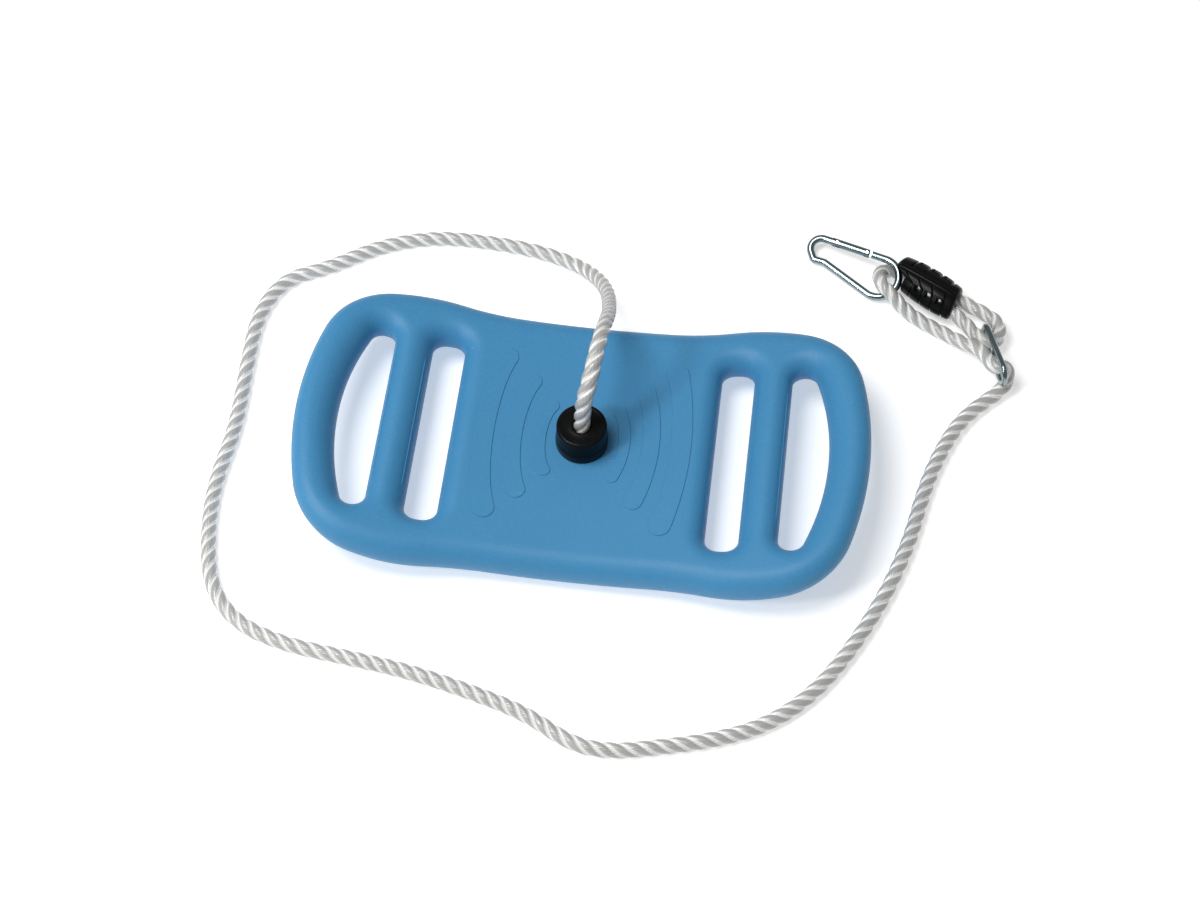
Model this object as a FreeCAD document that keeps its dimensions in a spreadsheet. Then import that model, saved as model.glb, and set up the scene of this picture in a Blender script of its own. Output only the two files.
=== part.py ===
import FreeCAD, Part
import math
import os
import Sketcher
from FreeCAD import Placement, Rotation, Vector

# Seat board on a rope with a length adjuster and a snap hook.
# X runs along the board, Y to the back, Z up. The board's belly rests at z = 0.

doc = FreeCAD.newDocument("zip_line_seat")
sheet = doc.addObject("Spreadsheet::Sheet", "sizes")

SIZES = {
    # seat board
    "board_length": 455.6, "board_thickness": 32.8, "sweep_radius": 800.0, "rim_round": 14.0,
    "end_radius": 275.0, "end_turn": 15.3, "corner_radius": 64.0, "corner_turn": 78.5,
    "shoulder_radius": 167.0, "shoulder_turn": 98.6, "waist_radius": 330.0, "wall": 3.2,
    "grip_inner": 162.0, "grip_outer": 195.5, "grip_half": 82.0, "grip_corner": 10.0,
    "slot_inner": 105.5, "slot_outer": 131.5, "slot_half": 84.0, "slot_corner": 11.0,
    "recess_radius": 27.0, "recess_depth": 26.0, "board_bore": 9.0, "boss_radius": 33.0,
    # collar, bush and washer on the rope
    "collar_radius": 20.0, "skirt_radius": 20.9, "skirt_rise": 9.0, "collar_rise": 25.0,
    "collar_mouth": 7.2, "collar_lift": 0.3, "collar_round": 2.0, "socket_radius": 9.1, "socket_depth": 19.0,
    "stem_radius": 8.9, "stem_rise": 17.0, "bush_radius": 21.0, "bush_flange": 3.0,
    "bush_bore": 6.5, "washer_radius": 18.0, "washer_bore": 6.8, "washer_thickness": 2.0,
    # rope, its knot and its two sealed ends
    "rope_diameter": 12.0, "knot_radius": 17.0, "knot_top": 21.0, "knot_bottom": 1.2,
    "knot_round": 6.0, "tail_length": 6.0, "seal_length": 2.0, "seal_radius": 5.6,
    # length adjuster, an eight-shaped ring
    "ring_half": 33.0, "ring_half_width": 9.0, "ring_wire": 2.5, "ring_x": 324.0,
    "ring_y": 133.0, "ring_z": 16.75, "ring_yaw": -73.5, "ring_pitch": -14.0,
    # clamp barrel over the rope's return
    "barrel_length": 46.0, "barrel_wide": 18.0, "barrel_tall": 13.5, "barrel_end_wide": 15.0,
    "barrel_end_tall": 11.5, "barrel_x": 271.4, "barrel_y": 193.9, "barrel_z": 13.5,
    "barrel_yaw": -33.4, "barrel_overhang": 7.0, "channel_radius": 6.1, "channel_offset": 6.2,
    "channel_drop": 1.5, "parting_gap": 0.05,
    # snap hook
    "hook_x": 175.4, "hook_y": 229.8, "hook_z": 8.2, "hook_yaw": -25.9, "hook_pitch": -3.4,
    "hook_roll": 22.7, "hook_wire": 3.2, "bow_x": 57.0, "bow_y": -2.4, "bow_radius": 16.8,
    "nose_y": -0.7, "nose_radius": 8.8, "heel_along": 39.4,
    "gate_radius": 3.6, "gate_bore": 2.3, "gate_nose": 32.2, "gate_tail": 1.8, "fork_depth": 7.9,
    "fork_half": 1.3, "tongue_half": 1.1, "nose_gap": 0.3, "heel_gap": 4.3, "latch_along": 27.3,
    "rivet_radius": 1.2, "rivet_hole": 1.25, "rivet_half": 3.9,
    "bore_depth": 18.0, "plunger_gap": 2.3, "plunger_length": 5.0, "plunger_radius": 2.2,
    "spring_wire": 0.25, "spring_radius": 1.75, "spring_pitch": 1.5,
}
for row, (name, value) in enumerate(SIZES.items(), start=1):
    sheet.set(f"A{row}", name)
    sheet.set(f"B{row}", str(value))
    sheet.setAlias(f"B{row}", name)
doc.recompute()


def size(name):
    return sheet.get(name)


def bind(obj, **sizes):
    """Bind an object's properties to expressions in the sheet's names."""
    for prop, text in sizes.items():
        words = text.replace("(", "( ").replace(")", " )").split(" ")
        linked = " ".join(f"sizes.{word}" if word in SIZES else word for word in words)
        obj.setExpression(prop, linked)


# ---- helpers for sketches and bodies

def new_body(label):
    body = doc.addObject("PartDesign::Body", label)
    body.Label = label
    return body


def plane(body, role):
    return next(item for item in body.Origin.OriginFeatures if item.Role == role)


def sketch(body, name, role, shapes, offset=None):
    """A sketch on one of the body's own planes, made of ready Part curves."""
    made = body.newObject("Sketcher::SketchObject", name)
    made.AttachmentSupport = [(plane(body, role), "")]
    made.MapMode = "FlatFace"
    if offset is not None:
        made.AttachmentOffset = offset
    for shape in shapes:
        made.addGeometry(shape)
    doc.recompute()
    return made



def circle_sketch(body, name, role, radius, offset=None):
    """A circle about the plane's origin with its radius bound to the sheet."""
    made = sketch(body, name, role, [Part.Circle(Vector(), Vector(0, 0, 1), size(radius))], offset)
    made.addConstraint(Sketcher.Constraint("Coincident", 0, 3, -1, 1))
    index = made.addConstraint(Sketcher.Constraint("Radius", 0, size(radius)))
    made.setExpression(f"Constraints[{index}]", f"sizes.{radius}")
    doc.recompute()
    return made


def polygon(points):
    corners = [Vector(x, y, 0) for x, y in points]
    return [Part.LineSegment(a, b) for a, b in zip(corners, corners[1:] + corners[:1])]


def pocket(body, profile, length=None, reverse=True):
    """Cut the profile upwards, right through unless a length is given."""
    before = body.Tip.Shape.Volume
    cut = body.newObject("PartDesign::Pocket", profile.Name + "_cut")
    cut.Profile = profile
    cut.Reversed = reverse
    if length is None:
        cut.Type = "ThroughAll"
    else:
        cut.Length = size(length)
        bind(cut, Length=length)
    body.Tip = cut
    doc.recompute()
    if cut.Shape.Volume > before - 1.0:
        raise RuntimeError(cut.Name + " cuts nothing")
    return cut


def revolve(body, profile):
    """Turn a profile, drawn in the XZ plane, about the body's Z axis."""
    turned = body.newObject("PartDesign::Revolution", profile.Name + "_turned")
    turned.Profile = profile
    turned.ReferenceAxis = (profile, ["V_Axis"])
    turned.Angle = 360
    body.Tip = turned
    doc.recompute()
    return turned


def round_edges(body, radius, wanted):
    """Fillet each edge of the body's last feature that the test picks."""
    last = body.Tip
    names = [f"Edge{i}" for i, edge in enumerate(last.Shape.Edges, start=1) if wanted(edge)]
    rounded = body.newObject("PartDesign::Fillet", body.Name + "_round")
    rounded.Base = (last, names)
    rounded.Radius = size(radius)
    bind(rounded, Radius=radius)
    body.Tip = rounded
    doc.recompute()
    return rounded


def solid_feature(label, shape, placement=None):
    """A sub-part whose path no sketch feature follows."""
    made = doc.addObject("Part::Feature", label)
    made.Label = label
    made.Shape = shape
    if placement is not None:
        made.Placement = placement
    return made


parts = {}


# ---- seat board: a curved slab trimmed to its outline, rounded, hollow

def outline(inset):
    """The board's outline: arcs tangent to each other, the same in all four quarters."""
    turns = [0.0, size("end_turn"), size("corner_turn"), size("shoulder_turn"), 90.0]
    radii = [size("end_radius"), size("corner_radius"), size("shoulder_radius"), -size("waist_radius")]
    x, y = size("board_length") / 2 - inset, 0.0
    curves = []
    for radius, start, end in zip(radii, turns, turns[1:]):
        radius -= inset
        a, b = math.radians(start), math.radians(end)
        cx, cy = x - radius * math.cos(a), y - radius * math.sin(a)
        places = [(cx + radius * math.cos(t), cy + radius * math.sin(t)) for t in (a, (a + b) / 2, b)]
        x, y = places[-1]
        for sx in (1, -1):
            for sy in (1, -1):
                curves.append(Part.Arc(*[Vector(sx * px, sy * py, 0) for px, py in places]))
    for side in (y, -y):
        curves.append(Part.LineSegment(Vector(-x, side, 0), Vector(x, side, 0)))
    return curves


def grip_hole(side, grow):
    """D-shaped hand hole: a straight side, a long bow and two rounded corners."""
    inner, outer = size("grip_inner") - grow, size("grip_outer") + grow
    top, corner = size("grip_half") + grow, size("grip_corner") + grow
    cx, cy = inner + corner, top - corner
    reach = outer - corner - cx
    bow = ((cy ** 2 + reach ** 2) / (2 * reach)) + corner
    bx = outer - bow
    angle = math.atan2(cy, cx - bx)
    curves = [Part.LineSegment(Vector(side * inner, -cy, 0), Vector(side * inner, cy, 0)),
              arc_about(side, bx, 0, bow, -angle, angle)]
    for flip in (1, -1):
        curves.append(arc_about(side, cx, flip * cy, corner, flip * angle, flip * math.pi))
    return curves


def arc_about(side, cx, cy, radius, start, end):
    spots = []
    for turn in (start, (start + end) / 2, end):
        spots.append(Vector(side * (cx + radius * math.cos(turn)), cy + radius * math.sin(turn), 0))
    return Part.Arc(*spots)


def slot_hole(side, grow):
    """Long slot with rounded corners."""
    low, high = size("slot_inner") - grow, size("slot_outer") + grow
    top, corner = size("slot_half") + grow, size("slot_corner") + grow
    curves = []
    for x in (low, high):
        curves.append(Part.LineSegment(Vector(side * x, corner - top, 0), Vector(side * x, top - corner, 0)))
    for flip in (1, -1):
        y = flip * top
        near, far = side * (low + corner), side * (high - corner)
        curves.append(Part.LineSegment(Vector(near, y, 0), Vector(far, y, 0)))
        for x, turn in ((high - corner, 0.0), (low + corner, math.pi)):
            end = flip * math.pi / 2
            curves.append(arc_about(side, x, flip * (top - corner), corner, turn * flip, end))
    return curves


def board_body(label, inset):
    """The board drawn in by an inset: none for its skin, one wall for its hollow."""
    body = new_body(label)
    thickness = size("board_thickness") - 2 * inset
    middle = size("board_thickness") / 2 + size("sweep_radius")
    reach = size("board_length") / 2 + 20
    side = []
    ends = []
    for radius in (size("sweep_radius") + thickness / 2, size("sweep_radius") - thickness / 2):
        rise = middle - math.sqrt(radius ** 2 - reach ** 2)
        side.append(Part.Arc(Vector(-reach, rise, 0), Vector(0, middle - radius, 0), Vector(reach, rise, 0)))
        ends.append(rise)
    for x in (-reach, reach):
        side.append(Part.LineSegment(Vector(x, ends[0], 0), Vector(x, ends[1], 0)))
    slab = body.newObject("PartDesign::Pad", label + "_slab")
    slab.Profile = sketch(body, label + "_side", "XZ_Plane", side)
    slab.SideType = "Symmetric"
    slab.Length = size("board_length")
    bind(slab, Length="board_length")
    doc.recompute()
    frame = polygon([(-2 * reach, -reach), (2 * reach, -reach), (2 * reach, reach), (-2 * reach, reach)])
    pocket(body, sketch(body, label + "_outline", "XY_Plane", frame + outline(inset)))
    for side_name, sign in (("right", 1), ("left", -1)):
        pocket(body, sketch(body, f"{label}_grip_{side_name}", "XY_Plane", grip_hole(sign, inset)))
        pocket(body, sketch(body, f"{label}_slot_{side_name}", "XY_Plane", slot_hole(sign, inset)))
    return body, thickness


def on_swept_face(shape, thickness):
    """The edges of the board's upper and lower curved faces."""
    radii = [size("sweep_radius") + half for half in (thickness / 2, -thickness / 2)]
    picked = []
    for face in shape.Faces:
        surface = face.Surface
        if isinstance(surface, Part.Cylinder) and min(abs(surface.Radius - r) for r in radii) < 0.01:
            picked += face.Edges
    return lambda edge: any(edge.isSame(other) for other in picked)


skin, skin_thickness = board_body("seat_skin", 0.0)
round_edges(skin, "rim_round", on_swept_face(skin.Tip.Shape, skin_thickness))
pocket(skin, circle_sketch(skin, "knot_recess", "XY_Plane", "recess_radius"), "recess_depth")
pocket(skin, circle_sketch(skin, "rope_bore", "XY_Plane", "board_bore"))

hollow, hollow_thickness = board_body("seat_hollow", size("wall"))
pocket(hollow, circle_sketch(hollow, "centre_boss", "XY_Plane", "boss_radius"))
rounded = round_edges(hollow, "rim_round", on_swept_face(hollow.Tip.Shape, hollow_thickness))
bind(rounded, Radius="rim_round - wall")

board = doc.addObject("Part::Cut", "seat_board")
board.Base = skin
board.Tool = hollow
parts["seat_board"] = board


# ---- collar above the board; bush, washer and knot in the recess below it

def turned_body(label, points, z):
    body = new_body(label)
    revolve(body, sketch(body, label + "_profile", "XZ_Plane", polygon(points)))
    body.Placement = Placement(Vector(0, 0, z), Rotation())
    parts[label] = body
    return body


board_top = size("board_thickness")
plate_low = size("recess_depth")
rise, skirt = size("collar_rise"), size("skirt_rise")
collar = turned_body("top_collar", [
    (size("socket_radius"), 0), (size("skirt_radius"), 0), (size("skirt_radius"), skirt),
    (size("collar_radius"), skirt + 1), (size("collar_radius"), rise), (size("collar_mouth"), rise),
    (size("collar_mouth"), size("socket_depth")), (size("socket_radius"), size("socket_depth"))],
    board_top + size("collar_lift"))
round_edges(collar, "collar_round",
            lambda edge: abs(edge.BoundBox.ZMin - rise) < 0.01 and edge.BoundBox.ZLength < 0.01
            and edge.BoundBox.XMax > size("collar_mouth") + 1)
flange = size("bush_flange")
stem_top = board_top - plate_low + size("stem_rise") + flange
turned_body("lower_bush", [
    (size("bush_bore"), 0), (size("bush_radius"), 0), (size("bush_radius"), flange),
    (size("stem_radius"), flange), (size("stem_radius"), stem_top), (size("bush_bore"), stem_top)],
    plate_low - flange)
washer_low = plate_low - flange - size("washer_thickness")
turned_body("load_washer", [
    (size("washer_bore"), 0), (size("washer_radius"), 0),
    (size("washer_radius"), size("washer_thickness")), (size("washer_bore"), size("washer_thickness"))],
    washer_low)

knot_core = doc.addObject("Part::Cylinder", "knot_core")
bind(knot_core, Radius="knot_radius", Height="knot_top - knot_bottom")
doc.recompute()
knot = doc.addObject("Part::Fillet", "rope_knot")
knot.Base = knot_core
rims = [i for i, edge in enumerate(knot_core.Shape.Edges, start=1) if edge.BoundBox.ZLength < 0.01]
knot.Edges = [(i, size("knot_round"), size("knot_round")) for i in rims]
knot.Placement = Placement(Vector(0, 0, size("knot_bottom")), Rotation())
parts["rope_knot"] = knot


def rod(label, radius, length, start, yaw=0.0, pitch=0.0):
    """A round bar from a point, along the X axis turned by yaw and pitch."""
    bar = doc.addObject("Part::Cylinder", label)
    bind(bar, Radius=radius, Height=length)
    bar.Placement = Placement(start, Rotation(yaw, pitch, 0).multiply(Rotation(Vector(0, 1, 0), 90)))
    parts[label] = bar
    return bar


knot_middle = (size("knot_top") + size("knot_bottom")) / 2
tail_yaw = -60.0
tail_way = Vector(math.cos(math.radians(tail_yaw)), math.sin(math.radians(tail_yaw)), 0)
tail_root = tail_way * (size("knot_radius") - size("seal_length")) + Vector(0, 0, knot_middle)


# ---- rope: straight runs joined by tangent arcs

ROPE = [
    (0, 0, 40), (0, 0, 82), (5, 15, 104), (8, 42, 112), (10, 69, 101), (10.5, 93, 80), (8, 116, 59),
    (4, 141, 39), (-7, 167, 20), (-27, 188, 7), (-62, 199, 6), (-102, 203, 6), (-150, 203, 6),
    (-196, 188, 6), (-236, 160, 6), (-270, 145, 6), (-286, 108, 6), (-285, 54, 6), (-282, -4, 6),
    (-289, -58, 6), (-285, -104, 6), (-273, -151, 6), (-246, -179, 6), (-207, -192, 6),
    (-160, -197, 6), (-110, -203, 6), (-60, -214, 6), (-15, -227, 6), (22, -248, 6), (52, -251, 6),
    (88, -243, 6), (126, -233, 6), (164, -217, 6), (196, -190, 6), (222, -152, 6), (248, -98, 6),
    (265, -46, 6), (275, 8, 6), (288, 48, 6), (304, 79, 6),
    (340.4, 110.2, 6.2), (337.7, 119.3, 22.5), (323.1, 116.5, 21.5), (313.5, 136.3, 17.5),
    (299, 144.8, 11), (281, 156, 7.5), (263, 165, 7), (249, 173, 10), (237, 182, 17.5),
    (225, 193.5, 19), (227, 212.5, 9), (242, 213.5, 6.2), (259, 209.6, 12), (296.5, 184.8, 12),
    (316, 176, 12), (332, 166.5, 12), (330, 147.5, 12), (312.5, 149.5, 12), (302, 161.5, 12),
    (287.2, 176, 12), (256.3, 196.4, 12),
]


def rounded_run(points, radii=None):
    """Straight runs joined by tangent arcs; without radii each arc is as large as its runs allow."""
    edges, bends = [], []
    start = points[0]
    for i in range(1, len(points) - 1):
        back = points[i - 1] - points[i]
        ahead = points[i + 1] - points[i]
        half_turn = (math.pi - back.getAngle(ahead)) / 2
        shorter = min(back.Length, ahead.Length)
        radius = radii[i - 1] if radii else 0.45 * shorter / math.tan(half_turn)
        reach = radius * math.tan(half_turn)
        enter = points[i] + back.normalize() * reach
        leave = points[i] + ahead.normalize() * reach
        inward = (back + ahead).normalize()
        crown = points[i] + inward * (radius / math.cos(half_turn) - radius)
        edges.append(Part.LineSegment(start, enter).toShape())
        edges.append(Part.Arc(enter, crown, leave).toShape())
        bends.append(radius)
        start = leave
    edges.append(Part.LineSegment(start, points[-1]).toShape())
    return edges, bends


def tube(edges, radius):
    """A round bar swept along edges that meet tangentially; its volume is compared."""
    path = Part.Wire(edges)
    first = edges[0]
    heading = first.tangentAt(first.FirstParameter)
    section = Part.Wire(Part.makeCircle(radius, first.valueAt(first.FirstParameter), heading))
    swept = path.makePipeShell([section], True, False)
    expected = math.pi * radius ** 2 * path.Length
    if abs(swept.Volume - expected) > 0.01 * expected:
        raise RuntimeError("tube volume is off")
    return swept


rope_radius = size("rope_diameter") / 2
route = [Vector(*point) for point in ROPE]
ROPE_STRETCHES = [
    ("rope_rise", 0, 10), ("rope_left", 10, 27), ("rope_right", 27, 39),
    ("rope_through_adjuster", 39, 45), ("rope_hook_bight", 45, 52),
    ("rope_return_loop", 52, len(route) - 1)]


def run_middle(index):
    """Where one stretch of rope hands over to the next: the middle of a run."""
    if index in (0, len(route) - 1):
        return route[index]
    return (route[index] + route[index + 1]) / 2


rope_length = 0.0
for label, first, last in ROPE_STRETCHES:
    inner = route[first + 1:last + 1] if last < len(route) - 1 else route[first + 1:last]
    full = [route[first]] + inner + [route[min(last + 1, len(route) - 1)]]
    edges, bends = rounded_run(full)
    begin, end = run_middle(first), run_middle(last)
    edges[0] = Part.LineSegment(begin, edges[0].valueAt(edges[0].LastParameter)).toShape()
    edges[-1] = Part.LineSegment(edges[-1].valueAt(edges[-1].FirstParameter), end).toShape()
    parts[label] = solid_feature(label, tube(edges, rope_radius))
    rope_length += Part.Wire(edges).Length
    print(label, "arc radii", [round(bend, 1) for bend in bends])
print("rope outside the seat", round(rope_length), "mm")

seat_run = doc.addObject("Part::Cylinder", "rope_in_seat")
bind(seat_run, Radius="rope_diameter / 2")
seat_run.Height = route[0].z - size("knot_top")
seat_run.Placement = Placement(Vector(0, 0, size("knot_top")), Rotation())
parts["rope_in_seat"] = seat_run

rod("rope_tail", "rope_diameter / 2", "tail_length", tail_root, tail_yaw)
rod("rope_tail_seal", "seal_radius", "seal_length",
    tail_root + tail_way * size("tail_length"), tail_yaw)
last_run = (route[-1] - route[-2]).normalize()
last_yaw = math.degrees(math.atan2(last_run.y, last_run.x))
rod("rope_end_seal", "seal_radius", "seal_length", route[-1], last_yaw)


# ---- length adjuster: a wire ring with a bar across its waist

def ring_frame():
    place = Vector(size("ring_x"), size("ring_y"), size("ring_z"))
    return Placement(place, Rotation(size("ring_yaw"), size("ring_pitch"), 0))


straight = size("ring_half") - size("ring_wire") - size("ring_half_width")
pieces = []
for name, x, turn in (("ring_tip", straight, -90), ("ring_head", -straight, 90)):
    bow = doc.addObject("Part::Torus", name)
    bind(bow, Radius1="ring_half_width", Radius2="ring_wire")
    bow.Angle3 = 180
    upright = Rotation(Vector(1, 0, 0), 90)
    bow.Placement = Placement(Vector(x, 0, 0), upright.multiply(Rotation(Vector(0, 0, 1), turn)))
    pieces.append(bow)
for name, z in (("ring_upper_side", 1), ("ring_lower_side", -1)):
    side = doc.addObject("Part::Cylinder", name)
    bind(side, Radius="ring_wire", Height="2 * ( ring_half - ring_wire - ring_half_width )")
    start = Vector(-straight, 0, z * size("ring_half_width"))
    side.Placement = Placement(start, Rotation(Vector(0, 1, 0), 90))
    pieces.append(side)
bar = doc.addObject("Part::Cylinder", "ring_bar")
bind(bar, Radius="ring_wire * 0.9", Height="2 * ring_half_width")
bar.Placement = Placement(Vector(0, 0, -size("ring_half_width")), Rotation())
pieces.append(bar)
adjuster = doc.addObject("Part::MultiFuse", "adjuster_ring")
adjuster.Shapes = pieces
adjuster.Placement = ring_frame()
parts["adjuster_ring"] = adjuster


# ---- clamp barrel: two half shells, one round each part of the rope

def barrel_half(label, side, overhang, beds):
    """Half shell on the +Y (1) or -Y (-1) side of the barrel's middle plane, bedded round the rope."""
    body = new_body(label + "_shell")
    half = (size("barrel_length") + overhang) / 2
    sections = []
    start = -math.pi / 2 if side > 0 else math.pi / 2
    for i in range(5):
        along = i / 2 - 1
        wide = size("barrel_wide") + (size("barrel_end_wide") - size("barrel_wide")) * along ** 2
        tall = size("barrel_tall") + (size("barrel_end_tall") - size("barrel_tall")) * along ** 2
        centre = Vector(side * size("parting_gap"), 0, 0)
        bow = Part.ArcOfEllipse(Part.Ellipse(centre, wide, tall), start, start + math.pi)
        chord = Part.LineSegment(centre + Vector(0, -tall, 0), centre + Vector(0, tall, 0))
        offset = Placement(Vector(0, 0, along * half - overhang / 2), Rotation())
        sections.append(sketch(body, f"{label}_section_{i}", "YZ_Plane", [bow, chord], offset))
    loft = body.newObject("PartDesign::AdditiveLoft", label + "_loft")
    loft.Profile = sections[0]
    loft.Sections = sections[1:]
    body.Tip = loft
    doc.recompute()
    channel = Vector(side * size("channel_offset"), -size("channel_drop"), 0)
    rope_way = sketch(body, label + "_channel", "YZ_Plane",
                      [Part.Circle(channel, Vector(0, 0, 1), size("channel_radius"))])
    cut = body.newObject("PartDesign::Pocket", label + "_channel_cut")
    cut.Profile = rope_way
    cut.Type = "ThroughAll"
    cut.SideType = "Symmetric"
    body.Tip = cut
    doc.recompute()
    place = Vector(size("barrel_x"), size("barrel_y"), size("barrel_z"))
    body.Placement = Placement(place, Rotation(size("barrel_yaw"), 0, 0))
    for count, bed in enumerate(beds, start=1):
        bedded = doc.addObject("Part::Cut", label if count == len(beds) else label + "_bed")
        bedded.Base = body
        bedded.Tool = parts[bed]
        body = bedded
    parts[label] = body


barrel_half("barrel_back_half", 1, size("barrel_overhang"), ["rope_hook_bight", "rope_return_loop"])
barrel_half("barrel_front_half", -1, 0.0, ["rope_return_loop"])


# ---- snap hook: bent wire frame and a sprung gate

hook_frame = Placement(Vector(size("hook_x"), size("hook_y"), size("hook_z")),
                       Rotation(size("hook_yaw"), size("hook_pitch"), size("hook_roll")))
nose_centre = Vector(0, size("nose_y"), 0)
bow_centre = Vector(size("bow_x"), size("bow_y"), 0)
between = bow_centre - nose_centre
gate_angle = (math.atan2(between.y, between.x)
              + math.asin((size("bow_radius") - size("nose_radius")) / between.Length))
gate_way = Vector(math.cos(gate_angle), math.sin(gate_angle), 0)
gate_out = Vector(-gate_way.y, gate_way.x, 0)
nose_touch = nose_centre + gate_out * size("nose_radius")
bow_touch = bow_centre + gate_out * size("bow_radius")
pivot = nose_touch + gate_way * size("heel_along")
nose_end = pivot - gate_way * (size("gate_nose") + size("nose_gap"))
heel_end = pivot + gate_way * size("heel_gap")
gate_frame = hook_frame.multiply(Placement(pivot, Rotation(Vector(0, 0, 1), math.degrees(gate_angle))))

NOSE_TURN_END = math.radians(225)
BULGE = Vector(-1.2, -11.9, 0)
KINK = Vector(8.5, -10.3, 0)
to_bow = bow_centre - KINK
leg_angle = math.atan2(to_bow.y, to_bow.x) - math.asin(size("bow_radius") / to_bow.Length)
leg_touch = bow_centre + Vector(math.sin(leg_angle), -math.cos(leg_angle), 0) * size("bow_radius")
nose_leave = nose_centre + Vector(math.cos(NOSE_TURN_END), math.sin(NOSE_TURN_END), 0) * size("nose_radius")
gate_normal = gate_angle + math.pi / 2
leg, _ = rounded_run([nose_leave, BULGE, KINK, leg_touch], [4.0, 8.0])
spine = [Part.LineSegment(nose_end, nose_touch).toShape(),
         arc_about(1, 0, size("nose_y"), size("nose_radius"), gate_normal, NOSE_TURN_END).toShape(),
         *leg,
         arc_about(1, size("bow_x"), size("bow_y"), size("bow_radius"), leg_angle - math.pi / 2,
                   gate_normal).toShape(),
         Part.LineSegment(bow_touch, heel_end).toShape()]
wire = doc.addObject("Part::Feature", "hook_wire")
wire.Shape = tube(spine, size("hook_wire"))


def plate(name, points, half):
    """A flat tongue lying in the hook's middle plane, drawn in the gate's frame."""
    corners = [gate_way * x + gate_out * y + pivot for x, y in points]
    face = Part.Face(Part.makePolygon(corners + corners[:1]))
    face.translate(Vector(0, 0, -half))
    made = doc.addObject("Part::Feature", name)
    made.Shape = face.extrude(Vector(0, 0, 2 * half))
    return made


latch = size("latch_along")
reach = size("hook_wire") - 0.6
notch = size("rivet_radius") + 0.4
nose_root = -(size("gate_nose") + size("nose_gap") + 1)
nose_tongue = plate("nose_tongue", [
    (nose_root, -reach), (-latch - notch, -reach), (-latch - notch, size("rivet_radius") + 0.3),
    (-latch + notch, size("rivet_radius") + 0.3), (-latch + notch, -reach),
    (-latch + notch + 1, -reach), (-latch + notch + 1, reach), (nose_root, reach)], size("tongue_half"))
cam = size("plunger_gap") - 0.1
heel_tongue = plate("heel_tongue", [
    (-cam, -2.0), (size("heel_gap") + 1, -reach), (size("heel_gap") + 1, reach), (-cam, 2.0)],
    size("tongue_half"))


def cylinder(name, radius, height, place):
    made = doc.addObject("Part::Cylinder", name)
    bind(made, Radius=radius, Height=height)
    made.Placement = place
    return made


def fuse(name, members):
    made = doc.addObject("Part::MultiFuse", name)
    made.Shapes = members
    return made


def cut(name, base, tool):
    made = doc.addObject("Part::Cut", name)
    made.Base = base
    made.Tool = tool
    return made


def across(x, half):
    """A placement across the gate at a distance along it, starting below its middle plane."""
    return Placement(Vector(x, 0, -half), Rotation())


frame_blank = fuse("frame_blank", [wire, nose_tongue, heel_tongue])
pin_hole = cylinder("pin_hole", "rivet_radius", "2 * rivet_half",
                    Placement(pivot - Vector(0, 0, size("rivet_half")), Rotation()))
frame = cut("hook_frame", frame_blank, pin_hole)
frame.Placement = hook_frame
parts["hook_frame"] = frame

along_gate = Rotation(Vector(0, 1, 0), 90)
gate_blank = cylinder("gate_blank", "gate_radius", "gate_nose + gate_tail",
                      Placement(Vector(-size("gate_nose"), 0, 0), along_gate))
gate_bore = cylinder("gate_bore_hole", "gate_bore", "bore_depth + gate_tail",
                     Placement(Vector(-size("bore_depth"), 0, 0), along_gate))
gate_cuts = [gate_bore]
for name, low, high in (("nose_fork", -size("gate_nose") - 1, -size("gate_nose") + size("fork_depth")),
                        ("heel_fork", -size("plunger_gap") - 0.2, size("gate_tail") + 1)):
    slit = doc.addObject("Part::Box", name)
    slit.Length = high - low
    bind(slit, Width="4 * gate_radius", Height="2 * fork_half")
    slit.Placement = Placement(Vector(low, -2 * size("gate_radius"), -size("fork_half")), Rotation())
    gate_cuts.append(slit)
for name, bore, along in (("hinge_hole", "rivet_hole", 0), ("latch_hole", "rivet_radius", -latch)):
    gate_cuts.append(cylinder(name, bore, "2 * rivet_half", across(along, size("rivet_half"))))
gate = cut("hook_gate", gate_blank, fuse("gate_cuts", gate_cuts))
gate.Placement = gate_frame
parts["hook_gate"] = gate

for name, x in (("hinge_rivet", 0.0), ("latch_rivet", -latch)):
    rivet = cylinder(name, "rivet_radius", "2 * rivet_half", Placement())
    rivet.Placement = gate_frame.multiply(across(x, size("rivet_half")))
    parts[name] = rivet

plunger_back = size("plunger_gap") + size("plunger_length")
plunger = cylinder("gate_plunger", "plunger_radius", "plunger_length", Placement())
plunger.Placement = gate_frame.multiply(Placement(Vector(-plunger_back, 0, 0), along_gate))
parts["gate_plunger"] = plunger

coil_height = size("bore_depth") - plunger_back - 2 * size("spring_wire") - 0.7
coil = Part.makeHelix(size("spring_pitch"), coil_height, size("spring_radius"))
wire_section = Part.Wire(Part.makeCircle(
    size("spring_wire"), Vector(size("spring_radius"), 0, 0), Vector(0, 1, 0)))
spring_shape = Part.Wire(coil.Edges).makePipeShell([wire_section], True, True)
spring_place = Vector(-size("bore_depth") + size("spring_wire") + 0.05, 0, 0)
parts["gate_spring"] = solid_feature(
    "gate_spring", spring_shape, gate_frame.multiply(Placement(spring_place, along_gate)))

doc.recompute()

swing = hook_frame.multVec(bow_centre)
normal = hook_frame.Rotation.multVec(Vector(0, 0, 1))
hinge = hook_frame.multVec(pivot)
slide = gate_frame.Rotation.multVec(Vector(-1, 0, 0))
for name, value in (("hook swing axis at", swing), ("hook normal", normal), ("gate hinge at", hinge),
                    ("plunger slides along", slide)):
    print(name, [round(c, 4) for c in value])


# ---- write one STEP file for each piece

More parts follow.
